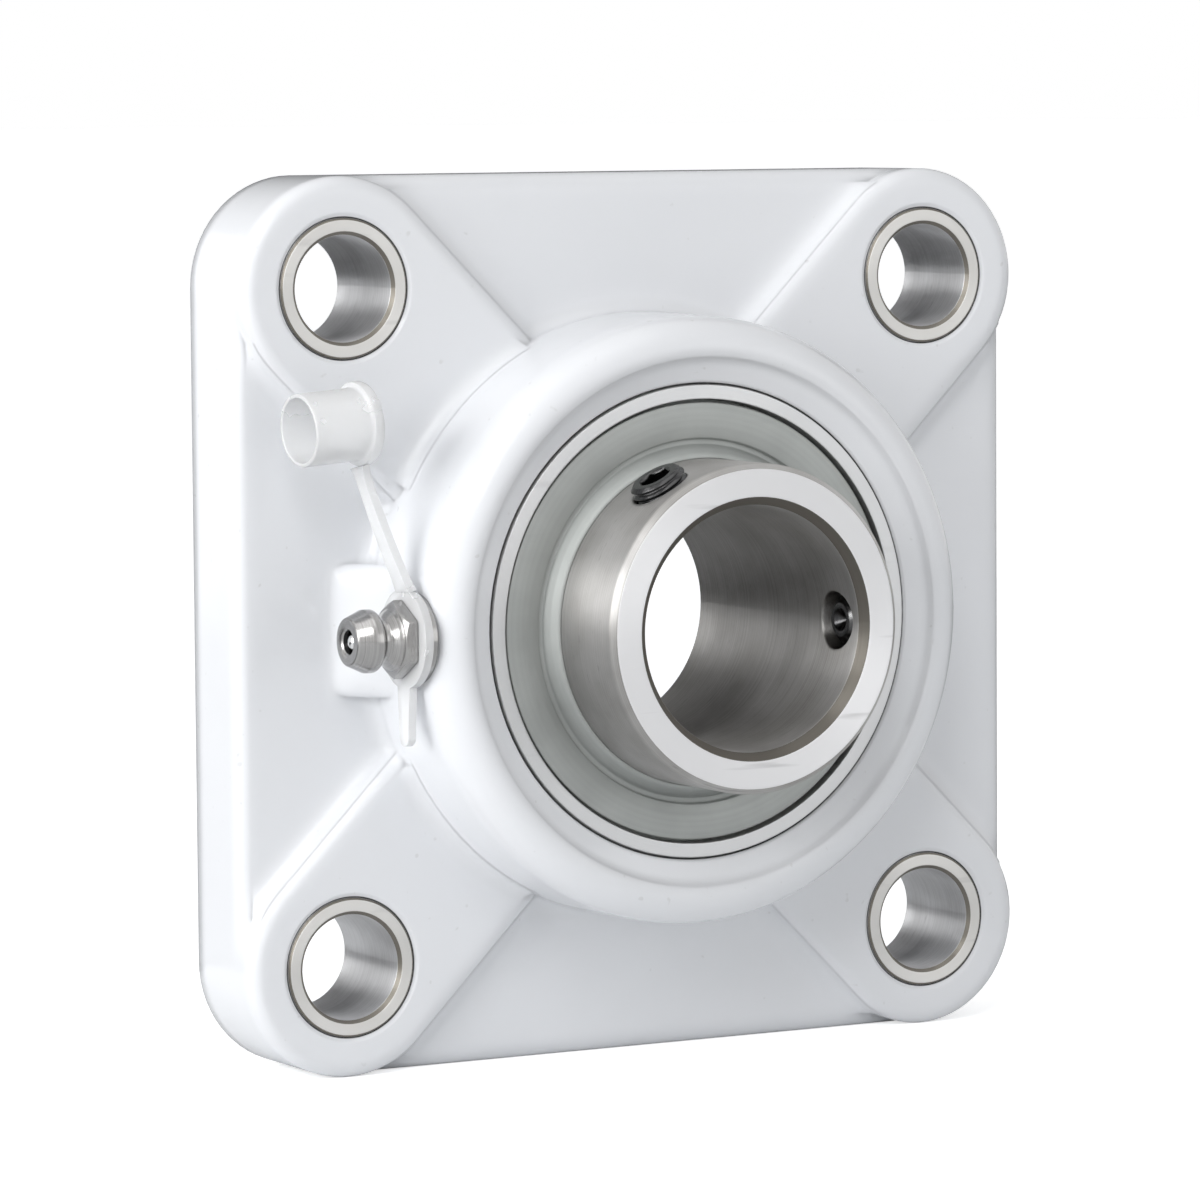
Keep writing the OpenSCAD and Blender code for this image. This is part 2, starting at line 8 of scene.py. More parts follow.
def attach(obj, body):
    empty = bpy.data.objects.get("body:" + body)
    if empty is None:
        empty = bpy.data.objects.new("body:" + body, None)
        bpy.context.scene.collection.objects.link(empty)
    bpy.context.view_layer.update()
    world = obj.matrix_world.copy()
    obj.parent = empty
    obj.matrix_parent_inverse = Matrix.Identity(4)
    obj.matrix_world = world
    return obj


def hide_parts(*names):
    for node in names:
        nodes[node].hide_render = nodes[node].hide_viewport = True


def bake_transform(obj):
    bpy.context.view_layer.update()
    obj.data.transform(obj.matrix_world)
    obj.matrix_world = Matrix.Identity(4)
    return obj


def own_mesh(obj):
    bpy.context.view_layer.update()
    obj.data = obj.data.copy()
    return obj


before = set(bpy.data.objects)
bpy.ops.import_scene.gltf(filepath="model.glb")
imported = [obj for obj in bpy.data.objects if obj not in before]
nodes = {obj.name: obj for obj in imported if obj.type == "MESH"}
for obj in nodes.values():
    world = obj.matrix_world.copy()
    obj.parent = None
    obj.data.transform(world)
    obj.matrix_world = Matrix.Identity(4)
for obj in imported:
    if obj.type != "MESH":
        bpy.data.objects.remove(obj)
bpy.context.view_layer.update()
bpy.ops.object.select_all(action="DESELECT")

MM = 0.001

# Places in the part, in mm: X right, Z up, the shaft along Y, the mounting face at Y = 0 and the front towards -Y
BOLT_PLACE = 35  # X and Z of the bolt holes' axes
INSERT_Y = -16  # middle of the outer ring
SCREW_Y = -30.8  # plane of the two set screws
SEAT_FRONT_Y = -23  # the seat's mouth lies in front of this
BUSH_SEAT_RADIUS = 7.34
RING_SEAT_RADIUS = 24.8
NIPPLE_X, NIPPLE_Y, NIPPLE_Z = -31.2, -20.5, -0.5  # foot of the nipple on the hub


# Modelling helpers


def vector(x, y, z):
    """A point or a step given in millimetres."""
    return Vector((x, y, z)) * MM


def start_piece(name):
    """The primitive that was just added gets its name and goes into edit mode with everything selected."""
    piece = bpy.context.object
    piece.name = name
    piece.data.name = name
    bpy.ops.object.mode_set(mode="EDIT")
    bpy.ops.mesh.select_all(action="SELECT")
    return piece


def raise_selection(height):
    """In edit mode, extrudes what is selected upwards by a height in mm."""
    bpy.ops.mesh.extrude_region_move(TRANSFORM_OT_translate={"value": (0, 0, height * MM)})


def close_shell(weld=False):
    """In edit mode, joins the points that coincide, where asked, and turns all faces outwards."""
    bpy.ops.mesh.select_all(action="SELECT")
    if weld:
        bpy.ops.mesh.remove_doubles(threshold=1e-7)
    bpy.ops.mesh.normals_make_consistent(inside=False)


def end_piece(piece, place=None):
    """Leaves edit mode, puts the piece's place into its mesh and deselects it."""
    bpy.ops.object.mode_set(mode="OBJECT")
    piece.data.transform(piece.matrix_world)
    piece.matrix_world = Matrix.Identity(4)
    if place is not None:
        piece.data.transform(place)
    bpy.ops.object.select_all(action="DESELECT")
    return piece


def activate(piece):
    bpy.ops.object.select_all(action="DESELECT")
    bpy.context.view_layer.objects.active = piece
    piece.select_set(True)


def turned(name, profile, closed=False, sides=96, place=None):
    """A piece turned about its own Z axis.

    A circle is extruded and scaled from step to step of the profile, which is given as (radius, height) in mm.
    A closed profile goes back to its first step and leaves a hole along the axis."""
    radius, height = profile[0]
    bpy.ops.mesh.primitive_circle_add(
        vertices=sides, radius=radius * MM, location=(0, 0, height * MM), fill_type="NOTHING" if closed else "NGON"
    )
    piece = start_piece(name)
    steps = profile[1:] + (profile[:1] if closed else [])
    for r, h in steps:
        raise_selection(h - height)
        bpy.ops.transform.resize(value=(r / radius, r / radius, 1), center_override=(0, 0, h * MM))
        radius, height = r, h
    close_shell(weld=True)
    return end_piece(piece, place)


def hexagon(name, half_width, low, high, turn=0):
    """An upright hexagonal prism: half_width is from its axis to its flats, in mm."""
    bpy.ops.mesh.primitive_circle_add(
        vertices=6, radius=half_width / math.cos(math.pi / 6) * MM, location=(0, 0, low * MM),
        rotation=(0, 0, turn), fill_type="NGON"
    )
    piece = start_piece(name)
    raise_selection(high - low)
    close_shell()
    return end_piece(piece)


def combine(piece, tool, how):
    """Joins the tool to the piece, or cuts the piece with it, and deletes the tool."""
    activate(piece)
    cut = piece.modifiers.new("combine", "BOOLEAN")
    cut.operation = how
    cut.solver = "EXACT"
    cut.object = tool
    bpy.ops.object.modifier_apply(modifier=cut.name)
    bpy.data.objects.remove(tool)
    bpy.ops.object.select_all(action="DESELECT")


def soften_moulding(piece):
    """Rounds the sharp edges of a moulded piece and shades it smoothly."""
    activate(piece)
    bevel = piece.modifiers.new("round", "BEVEL")
    bevel.width = 0.16 * MM
    bevel.segments = 3
    bevel.limit_method = "ANGLE"
    bevel.angle_limit = math.radians(50)
    bpy.ops.object.modifier_apply(modifier=bevel.name)
    smooth(piece, 40)


def smooth(piece, angle):
    """Shades smoothly over the edges that turn by less than angle, in degrees."""
    activate(piece)
    bpy.ops.object.shade_smooth_by_angle(angle=math.radians(angle))
    bpy.ops.object.select_all(action="DESELECT")


def dress(piece, material, body, stands_for):
    """Gives a piece its material, its body and its material slot, and hides the CAD node that it stands for."""
    piece.data.materials.clear()
    piece.data.materials.append(material)
    if body:
        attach(piece, body)
    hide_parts(stands_for)


# Node helpers


def new_material(name):
    material = bpy.data.materials.new(name)
    material.use_nodes = True
    return material, material.node_tree, material.node_tree.nodes["Principled BSDF"]


def fill(tree, made, inputs):
    """Sets the sockets of a node, by name or number: each is given a value or another node's output."""
    for key, value in inputs.items():
        if isinstance(value, bpy.types.NodeSocket):
            tree.links.new(value, made.inputs[key])
        else:
            made.inputs[key].default_value = value


def node(tree, kind, inputs, **settings):
    """Adds a node, sets its properties and then its sockets."""
    made = tree.nodes.new(kind)
    for key, value in settings.items():
        setattr(made, key, value)
    fill(tree, made, inputs)
    return made


def math_node(tree, operation, a, b=0.0):
    return node(tree, "ShaderNodeMath", {0: a, 1: b}, operation=operation).outputs[0]


def mix_value(tree, factor, first, second):
    return node(tree, "ShaderNodeMix", {0: factor, 2: first, 3: second}, data_type="FLOAT").outputs[0]


def mix_colour(tree, factor, first, second):
    """Mixes two colours, each a triple or another node's output."""
    sides = {key: c if isinstance(c, bpy.types.NodeSocket) else (*c, 1) for key, c in ((6, first), (7, second))}
    return node(tree, "ShaderNodeMix", {0: factor, **sides}, data_type="RGBA").outputs[2]


def ramp(tree, value, low, high, start=0.0, end=1.0):
    """Runs from start to end while the value runs from low to high."""
    return node(tree, "ShaderNodeMapRange", {0: value, 1: low, 2: high, 3: start, 4: end}).outputs[0]


def noise(tree, point, scale, detail, **inputs):
    inputs = {"Vector": point, "Scale": scale, "Detail": detail, **inputs}
    return node(tree, "ShaderNodeTexNoise", inputs).outputs["Fac"]


def bump(tree, height, strength, distance, **inputs):
    inputs = {"Height": height, "Strength": strength, "Distance": distance, **inputs}
    return node(tree, "ShaderNodeBump", inputs).outputs[0]


def object_coordinates(tree):
    return node(tree, "ShaderNodeTexCoord", {}).outputs["Object"]


def along_shaft(tree, point):
    return node(tree, "ShaderNodeSeparateXYZ", {0: point}).outputs["Y"]


def axis_distance(tree, point):
    """How far a point is from the Y axis."""
    flat = node(tree, "ShaderNodeVectorMath", {0: point, 1: (1, 0, 1)}, operation="MULTIPLY").outputs[0]
    return node(tree, "ShaderNodeVectorMath", {0: flat}, operation="LENGTH").outputs["Value"]


def own_axis(tree, coordinates, axis):
    """Coordinates about the axis that a piece was turned on: the nearest bolt hole, the nipple or the shaft."""
    if axis == "bolt":
        folded = node(tree, "ShaderNodeVectorMath", {0: coordinates}, operation="ABSOLUTE").outputs[0]
        corner = vector(BOLT_PLACE, 0, BOLT_PLACE)
        return node(tree, "ShaderNodeVectorMath", {0: folded, 1: corner}, operation="SUBTRACT").outputs[0]
    if axis == "nipple":
        place = {"Location": vector(NIPPLE_Y, 0, -NIPPLE_Z), "Rotation": (0, 0, math.pi / 2)}
        return node(tree, "ShaderNodeMapping", {"Vector": coordinates, **place}).outputs[0]
    return coordinates


def new_group(name, inputs, outputs):
    """A shader node group with named sockets, each given as (name, kind), and its two end nodes."""
    group = bpy.data.node_groups.new(name, "ShaderNodeTree")
    for direction, sockets in (("INPUT", inputs), ("OUTPUT", outputs)):
        for label, kind in sockets:
            group.interface.new_socket(name=label, in_out=direction, socket_type=kind)
    return group, group.nodes.new("NodeGroupInput").outputs, group.nodes.new("NodeGroupOutput")


def place_group(tree, group, inputs):
    return node(tree, "ShaderNodeGroup", inputs, node_tree=group).outputs


# Shared effects

FLOAT, VECTOR = "NodeSocketFloat", "NodeSocketVector"

# Fine rings left by a lathe or a grinder about the Y axis: across a face they are circles, along a bore they are
# hoops. Shading also softens the edges, by the rounding in metres
turning_marks, given, end = new_group(
    "turning_marks",
    [("Vector", VECTOR), ("Marks per metre", FLOAT), ("Depth", FLOAT), ("Rounding", FLOAT)],
    [("Marks", FLOAT), ("Patches", FLOAT), ("Normal", VECTOR)],
)
across = math_node(
    turning_marks, "MULTIPLY", axis_distance(turning_marks, given["Vector"]), given["Marks per metre"]
)
along = math_node(
    turning_marks, "MULTIPLY", along_shaft(turning_marks, given["Vector"]), given["Marks per metre"]
)
rings = node(turning_marks, "ShaderNodeCombineXYZ", {0: across, 1: along}).outputs[0]
marks = noise(turning_marks, rings, 1.0, 4.0)
worn_edges = node(turning_marks, "ShaderNodeBevel", {"Radius": given["Rounding"]}, samples=6).outputs[0]
fill(turning_marks, end, {
    "Marks": marks,
    "Patches": noise(turning_marks, given["Vector"], 160.0, 3.0),
    "Normal": bump(turning_marks, marks, given["Depth"], 0.00004, Normal=worn_edges),
})

# Dust specks, hairline scratches and smudges from handling
handling, given, end = new_group(
    "handling",
    [("Vector", VECTOR), ("Amount", FLOAT)],
    [("Specks", FLOAT), ("Scratches", FLOAT), ("Smudge", FLOAT)],
)
grains = noise(handling, given["Vector"], 900.0, 1.0)
drawn_out = node(
    handling, "ShaderNodeMapping",
    {"Vector": given["Vector"], "Rotation": (0.4, 0.7, 0.9), "Scale": (60, 2600, 700)}
).outputs[0]
lines = noise(handling, drawn_out, 1.0, 2.0)
fill(handling, end, {
    "Specks": math_node(handling, "MULTIPLY", ramp(handling, grains, 0.74, 0.8), given["Amount"]),
    "Scratches": math_node(handling, "MULTIPLY", ramp(handling, lines, 0.66, 0.78), given["Amount"]),
    "Smudge": noise(handling, given["Vector"], 70.0, 4.0),
})

# How far from an end face, in mm, a surface still counts as that face or as the chamfer beside it, and how far the
# painted shade on the chamfer stays away from the walls beside it
FACE_DEPTH, CHAMFER_DEPTH, WALL_GAP = 0.03, 1.2, 0.02


def steel(name, light, dark, rough, marks=6000.0, depth=0.2, scratch=0.4, patchy=0.5, stretch=0.0,
          rounding=0.0002, axis="shaft", face=None, edge=None, throat=None):
    """Steel with turning marks about its own axis, faint clouding and hairline scratches.

    light and dark are its tones, rough is its mean roughness, marks and depth are those of turning_marks, patchy is
    the share of clouds among the tones, and stretch draws the gloss out along the axis, as fine hoops on a bore do.
    face is (middle, half length, lighter, darker, roughness, metallic) of ground end faces across the Y axis, edge
    is (bore radius, outer radius, colour) of painted shade on the chamfers beside those faces, and throat is
    (radius, colour) of painted shade in a hole along the axis. Their lengths are in mm, rounding is in metres."""
    material, tree, shader = new_material(name)
    coordinates = object_coordinates(tree)
    local = own_axis(tree, coordinates, axis)
    distance = axis_distance(tree, local)
    turning = place_group(
        tree, turning_marks, {"Vector": local, "Marks per metre": marks, "Depth": depth, "Rounding": rounding}
    )
    wear = place_group(tree, handling, {"Vector": coordinates, "Amount": scratch})
    streaks = math_node(tree, "MULTIPLY", ramp(tree, turning["Marks"], 0.3, 0.7), 1 - patchy)
    clouds = math_node(tree, "MULTIPLY", ramp(tree, turning["Patches"], 0.3, 0.7), patchy)
    colour = mix_colour(tree, math_node(tree, "ADD", streaks, clouds), dark, light)
    grip = ramp(tree, turning["Marks"], 0.2, 0.8, rough * 0.8, rough * 1.2)
    shine = math_node(tree, "ADD", grip, math_node(tree, "MULTIPLY", wear["Smudge"], 0.05))
    metal = 1.0
    if face:
        middle, half_length, face_light, face_dark, face_rough, face_metal = face
        off = math_node(tree, "SUBTRACT", along_shaft(tree, coordinates), middle * MM)
        away = math_node(tree, "ABSOLUTE", off)
        on_face = math_node(tree, "GREATER_THAN", away, (half_length - FACE_DEPTH) * MM)
        # Painted shade: the chamfers beside the end faces get a dark colour that stands for the shade along them
        if edge:
            bore, rim, chamfer_shade_colour = edge
            middle_radius, half_wall = (bore + rim) / 2 * MM, (rim - bore) / 2 * MM
            off = math_node(tree, "ABSOLUTE", math_node(tree, "SUBTRACT", distance, middle_radius))
            inside = math_node(tree, "LESS_THAN", off, half_wall - WALL_GAP * MM)
            near = math_node(tree, "GREATER_THAN", away, (half_length - CHAMFER_DEPTH) * MM)
            colour = mix_colour(tree, math_node(tree, "MULTIPLY", inside, near), colour, chamfer_shade_colour)
        colour = mix_colour(tree, on_face, colour, mix_colour(tree, wear["Smudge"], face_dark, face_light))
        shine = mix_value(tree, on_face, shine, face_rough)
        metal = mix_value(tree, on_face, metal, face_metal)
    # Painted shade: the hole along the axis gets a near black colour that stands for the shade inside it
    if throat:
        radius, throat_shade_colour = throat
        colour = mix_colour(tree, math_node(tree, "LESS_THAN", distance, radius * MM), colour, throat_shade_colour)
    scratched = math_node(tree, "MULTIPLY", wear["Scratches"], 0.35)
    colour = mix_colour(tree, scratched, colour, tuple(0.45 * c for c in dark))
    fill(tree, shader, {
        "Base Color": colour, "Roughness": shine, "Metallic": metal, "Normal": turning["Normal"],
    })
    if stretch:
        hoops = node(tree, "ShaderNodeTangent", {}, direction_type="RADIAL", axis="Y").outputs[0]
        fill(tree, shader, {"Anisotropic": stretch, "Anisotropic Rotation": 0.25, "Tangent": hoops})
    return material


# Materials

ring_steel = steel(
    "ring_steel", (0.54, 0.535, 0.53), (0.28, 0.27, 0.255), 0.4, marks=9000.0, depth=0.25, scratch=0.9,
    patchy=0.4, stretch=0.88, rounding=0.0005,
    face=(-18.75, 17.05, (0.86, 0.86, 0.87), (0.81, 0.81, 0.82), 0.7, 0.45),
    # Painted shade on the bore's chamfers
    edge=(12.7, 13.64, (0.14, 0.13, 0.115))
)
outer_ring_steel = steel(
    "outer_ring_steel", (0.74, 0.74, 0.73), (0.6, 0.6, 0.59), 0.42, marks=9000.0,
    face=(INSERT_Y, 8.5, (0.72, 0.725, 0.73), (0.56, 0.565, 0.57), 0.34, 0.8)
)
bush_steel = steel(
    "bush_steel", (0.84, 0.845, 0.86), (0.54, 0.54, 0.545), 0.38, marks=9000.0, scratch=0.7, patchy=0.6,
    stretch=0.8, axis="bolt", face=(-6.25, 6.25, (0.72, 0.71, 0.69), (0.60, 0.59, 0.57), 0.42, 0.8),
    # Painted shade on the bush's chamfers
    edge=(5.5, 7.25, (0.21, 0.195, 0.17))
)
shield_steel = steel(
    "shield_steel", (0.45, 0.465, 0.455), (0.38, 0.395, 0.385), 0.62, marks=2500.0, depth=0.05, scratch=0.15,
    patchy=0.7
)
nipple_steel = steel(
    "nipple_steel", (0.52, 0.518, 0.515), (0.27, 0.262, 0.255), 0.17, marks=9000.0, depth=0.15, rounding=0.0003,
    # The nipple's mouth round its ball is painted near black: painted shade
    axis="nipple", throat=(1.22, (0.02, 0.02, 0.02))
)
screw_steel = steel(
    "screw_steel", (0.12, 0.12, 0.12), (0.03, 0.03, 0.032), 0.2, marks=4000.0, depth=0.1, scratch=1.0
)
cage_steel = steel("cage_steel", (0.6, 0.6, 0.6), (0.42, 0.42, 0.43), 0.35, marks=3000.0)
ball_steel = steel(
    "ball_steel", (0.82, 0.82, 0.82), (0.74, 0.74, 0.75), 0.08, marks=1500.0, depth=0.02, scratch=0.1
)
spring_steel = steel("spring_steel", (0.55, 0.55, 0.56), (0.4, 0.4, 0.41), 0.3, marks=4000.0)

# White moulded plastic: glossy, with the faint ripple and flow clouds of the mould and a few specks of dust. Its
# corners are broad and soft, but for the edges of the holes
MOULD_ROUNDING, HOLE_ROUNDING = 0.0026, 0.0003
# Painted shade: the near black colour of the narrow gaps round the bushes and the outer ring
PAINTED_GAP_SHADE = (0.03, 0.03, 0.03)
housing_plastic, tree, shader = new_material("housing_plastic")
coordinates = object_coordinates(tree)
ripple = noise(tree, coordinates, 260.0, 3.0, Roughness=0.6)
flow = noise(tree, coordinates, 32.0, 3.0, Distortion=0.8)
wear = place_group(tree, handling, {"Vector": coordinates, "Amount": 0.3})
colour = mix_colour(tree, flow, (0.74, 0.755, 0.78), (0.79, 0.80, 0.825))
colour = mix_colour(tree, wear["Specks"], colour, (0.5, 0.5, 0.49))
# The narrow gaps round the bushes and in front of the outer ring are painted near black: painted shade in the gaps
front = math_node(tree, "LESS_THAN", along_shaft(tree, coordinates), SEAT_FRONT_Y * MM)
rounding = MOULD_ROUNDING
for distance, seat, fade, where in (
    (axis_distance(tree, own_axis(tree, coordinates, "bolt")), BUSH_SEAT_RADIUS, 0.09, 1.0),
    (axis_distance(tree, coordinates), RING_SEAT_RADIUS, 0.1, front),
):
    gap_shade_mask = math_node(tree, "MULTIPLY", ramp(tree, distance, seat * MM, (seat + fade) * MM, 1, 0), where)
    colour = mix_colour(tree, gap_shade_mask, colour, PAINTED_GAP_SHADE)
    near = ramp(tree, distance, (seat + 0.6) * MM, (seat + 3.2) * MM, HOLE_ROUNDING, MOULD_ROUNDING)
    rounding = math_node(tree, "MINIMUM", mix_value(tree, where, MOULD_ROUNDING, near), rounding)
soft_edges = node(tree, "ShaderNodeBevel", {"Radius": rounding}, samples=8).outputs[0]
fill(tree, shader, {
    "Base Color": colour, "Roughness": ramp(tree, flow, 0.3, 0.7, 0.1, 0.17), "IOR": 1.5,
    "Normal": bump(tree, ripple, 0.12, 0.0001, Normal=soft_edges),
})

# Milky soft plastic of the dust cap
cap_plastic, tree, shader = new_material("cap_plastic")
milk = noise(tree, object_coordinates(tree), 190.0, 3.0)
fill(tree, shader, {
    "Base Color": mix_colour(tree, milk, (0.94, 0.945, 0.955), (0.98, 0.985, 0.99)),
    "Roughness": ramp(tree, milk, 0.3, 0.7, 0.2, 0.3), "IOR": 1.42, "Transmission Weight": 0.5,
    "Normal": bump(tree, milk, 0.1, 0.0001),
})

# Black nitrile rubber of the seal lips
seal_rubber, tree, shader = new_material("seal_rubber")
grain = noise(tree, object_coordinates(tree), 1800.0, 3.0)
fill(tree, shader, {
    "Base Color": mix_colour(tree, grain, (0.012, 0.012, 0.012), (0.03, 0.03, 0.03)), "Roughness": 0.55,
    "Normal": bump(tree, grain, 0.3, 0.00005),
})

# The finish of the CAD nodes that stay, by the start of their names
FINISHES = (
    ("housing", housing_plastic), ("bush_", bush_steel), ("nipple_insert", nipple_steel),
    ("nipple_ball", ball_steel), ("outer_ring", outer_ring_steel), ("inner_ring", ring_steel),
    ("ball_", ball_steel), ("cage_", cage_steel), ("seal_washer_", shield_steel), ("seal_lip_", seal_rubber),
)
for name, piece in nodes.items():
    for start, finish in FINISHES:
        if name.startswith(start):
            piece.data.materials.clear()
            piece.data.materials.append(finish)

# Flingers: pressed discs with a flat face, a step in to the hub and a collar along the inner ring, all with drawn
# radii. Heights are from the middle of the insert
FLINGER = [
    (17.03, 6.9), (17.72, 6.9), (18.25, 6.92), (18.5, 7.0), (18.62, 7.2), (18.72, 7.42), (18.95, 7.5),
    (22.5, 7.5), (22.74, 7.52), (22.8, 7.62), (22.8, 7.95), (22.74, 8.06), (22.6, 8.1), (19.2, 8.1),
    (19.08, 8.06), (19.03, 7.97), (19.0, 7.68), (18.95, 7.6), (18.5, 7.58), (18.42, 7.62), (18.36, 7.72),
    (17.6, 8.75), (17.35, 9.0), (17.1, 9.15), (17.03, 9.15),
]
for side, name in ((-1, "flinger_front"), (1, "flinger_rear")):
    place = Matrix.Translation(vector(0, INSERT_Y, 0)) @ Matrix.Rotation(-side * math.pi / 2, 4, "X")
    disc = turned(name + "_piece", FLINGER, closed=True, sides=160, place=place)
    smooth(disc, 40)
    dress(disc, shield_steel, "inner_ring_body", name)


# Set screws

SCREW_LENGTH, SCREW_RADIUS, SCREW_PITCH, THREAD_DEPTH = 5.0, 2.98, 0.75, 0.36
BARREL_RADIUS = SCREW_RADIUS + 0.02
SOCKET_HALF_WIDTH, SOCKET_DEPTH, SOCKET_TURN = 1.5, 2.4, 0.3


def thread(name):
    """A threaded rod along its own Z axis, from 0 to the screw's length.

    One step of the profile is swept by a screw modifier, past both ends, and the ends are cut flat."""
    bpy.ops.mesh.primitive_plane_add(
        size=MM, location=((SCREW_RADIUS - THREAD_DEPTH) * MM, 0, -2 * SCREW_PITCH * MM)
    )
    piece = start_piece(name)
    bpy.ops.mesh.merge(type="CENTER")
    # Root, flank, crest, flank and root: outwards in mm, and along the axis in pitches
    for across, along in ((0, 0.08), (THREAD_DEPTH, 0.38), (0, 0.08), (-THREAD_DEPTH, 0.38), (0, 0.08)):
        bpy.ops.mesh.extrude_region_move(
            TRANSFORM_OT_translate={"value": (across * MM, 0, along * SCREW_PITCH * MM)}
        )
    end_piece(piece)
    activate(piece)
    sweep = piece.modifiers.new("sweep", "SCREW")
    sweep.screw_offset = SCREW_PITCH * MM
    sweep.iterations = int(SCREW_LENGTH / SCREW_PITCH) + 5
    sweep.steps = sweep.render_steps = 48
    sweep.use_merge_vertices = True
    sweep.merge_threshold = 1e-6
    bpy.ops.object.modifier_apply(modifier=sweep.name)
    bpy.ops.object.mode_set(mode="EDIT")
    for height, side in ((0, -1), (SCREW_LENGTH, 1)):
        bpy.ops.mesh.select_all(action="SELECT")
        bpy.ops.mesh.bisect(
            plane_co=(0, 0, height * MM), plane_no=(0, 0, side), use_fill=True, clear_outer=True, threshold=1e-7
        )
    close_shell(weld=True)
    return end_piece(piece)


def set_screw(node_name, angle, reach, body):
    """Cup-pointed set screw: its own Z axis runs outwards from the bore, and its point is at reach, in mm."""
    name = node_name + "_piece"
    screw = thread(name)
    barrel = [
        (1.75, 0.001), (BARREL_RADIUS, 1.15), (BARREL_RADIUS, SCREW_LENGTH - 0.5),
        (SCREW_RADIUS - 0.5, SCREW_LENGTH - 0.001),
    ]
    cup = [(1.5, -0.3), (1.2, 0.05), (0.15, 0.9)]
    rim = [(SOCKET_HALF_WIDTH * 0.9, SCREW_LENGTH - 0.35), (SOCKET_HALF_WIDTH + 0.65, SCREW_LENGTH + 0.3)]
    socket = hexagon(
        name + "_socket", SOCKET_HALF_WIDTH, SCREW_LENGTH - SOCKET_DEPTH, SCREW_LENGTH + 1, turn=SOCKET_TURN
    )
    combine(screw, turned(name + "_barrel", barrel, sides=48), "INTERSECT")
    combine(screw, turned(name + "_cup", cup, sides=32), "DIFFERENCE")
    combine(screw, socket, "DIFFERENCE")
    combine(screw, turned(name + "_rim", rim, sides=48), "DIFFERENCE")
    direction = Vector((math.cos(angle), 0, math.sin(angle)))
    screw.data.transform(
        Matrix.Translation(direction * reach * MM + vector(0, SCREW_Y, 0))
        @ direction.to_track_quat("Z", "Y").to_matrix().to_4x4()
    )
    smooth(screw, 25)
    dress(screw, screw_steel, body, node_name)


set_screw("set_screw_upper", math.radians(120), 13.2, "upper_screw_body")
set_screw("set_screw_side", 0, 13.0, "side_screw_body")

# Grease nipple: its own Z axis points out of the hub, along -X of the part
AT_NIPPLE = Matrix((
    (0, 0, -1, NIPPLE_X * MM), (-1, 0, 0, NIPPLE_Y * MM), (0, 1, 0, NIPPLE_Z * MM), (0, 0, 0, 1)
))
HEXAGON_CHAMFER = [(3.95, 1.69), (4.2, 1.9), (4.2, 2.62), (3.35, 3.11)]
NIPPLE_PROFILE = [
    (0.9, -3.75), (2.7, -3.75), (2.95, -3.5), (2.95, 1.75), (3.2, 2.9), (3.2, 3.12), (3.15, 3.2), (2.9, 3.55),
    (2.42, 3.95), (2.3, 4.1), (2.24, 4.35), (2.27, 4.6), (2.5, 4.85), (2.95, 5.1), (3.15, 5.22), (3.22, 5.35),
    (3.25, 5.5), (3.25, 6.15), (3.22, 6.3), (3.12, 6.5), (2.52, 7.86), (2.46, 7.95), (2.38, 7.99), (1.42, 7.99),
    (1.34, 7.96), (1.16, 7.75), (1.0, 7.55), (1.0, 7.3), (1.24, 6.9), (1.24, 1.3), (0.9, 1.2),
]
nipple = hexagon("grease_nipple_piece", 3.5, 1.7, 3.1)
combine(nipple, turned("hexagon_chamfer", HEXAGON_CHAMFER, sides=64), "INTERSECT")
combine(nipple, turned("nipple_turning", NIPPLE_PROFILE, closed=True), "UNION")
nipple.data.transform(AT_NIPPLE)
smooth(nipple, 24)
dress(nipple, nipple_steel, "housing_body", "grease_nipple")

# The spring behind the nipple's ball, which shortens as the ball is pressed in, is a piece of its own with a copy
# of the CAD node's mesh
spring = bpy.data.objects.new("nipple_spring_piece", nodes["nipple_spring"].data.copy())
bpy.context.scene.collection.objects.link(spring)
spring.data.transform(nodes["nipple_spring"].matrix_world)
dress(spring, spring_steel, "housing_body", "nipple_spring")
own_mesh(spring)

# Dust cap: the ring under the nipple's hexagon with its pull tab, one flat moulding. The tab is a small disc whose
# inner half is drawn out to the ring and widened there
RING_INNER, RING_OUTER, RING_LOW, RING_HIGH = 3.08, 5.1, 0.76, 1.64
TAB_RADIUS, TAB_END, TAB_REACH, TAB_FOOT, TAB_WIDENING = 1.0, -9.98, 5.6, -4.5, 1.42
cap_ring = turned(
    "cap_ring_piece",
    [(RING_INNER, RING_LOW), (RING_OUTER, RING_LOW), (RING_OUTER, RING_HIGH), (RING_INNER, RING_HIGH)],
    closed=True
)
bpy.ops.mesh.primitive_circle_add(
    vertices=32, radius=TAB_RADIUS * MM, location=(0, TAB_END * MM, RING_LOW * MM), fill_type="NGON"
)
tab = start_piece("pull_tab")
bpy.ops.mesh.select_all(action="DESELECT")
bpy.ops.object.mode_set(mode="OBJECT")
for vertex in tab.data.vertices:
    vertex.select = vertex.co.y > 1e-6
bpy.ops.object.mode_set(mode="EDIT")
bpy.ops.transform.translate(value=(0, TAB_REACH * MM, 0))
bpy.ops.transform.resize(value=(TAB_WIDENING, 1, 1), center_override=(0, TAB_FOOT * MM, 0))
bpy.ops.mesh.select_all(action="SELECT")
raise_selection(RING_HIGH - RING_LOW)
close_shell()
end_piece(tab)
combine(cap_ring, tab, "UNION")
soften_moulding(cap_ring)
cap_ring.data.transform(AT_NIPPLE)
dress(cap_ring, cap_plastic, "tether_body", "cap_ring")

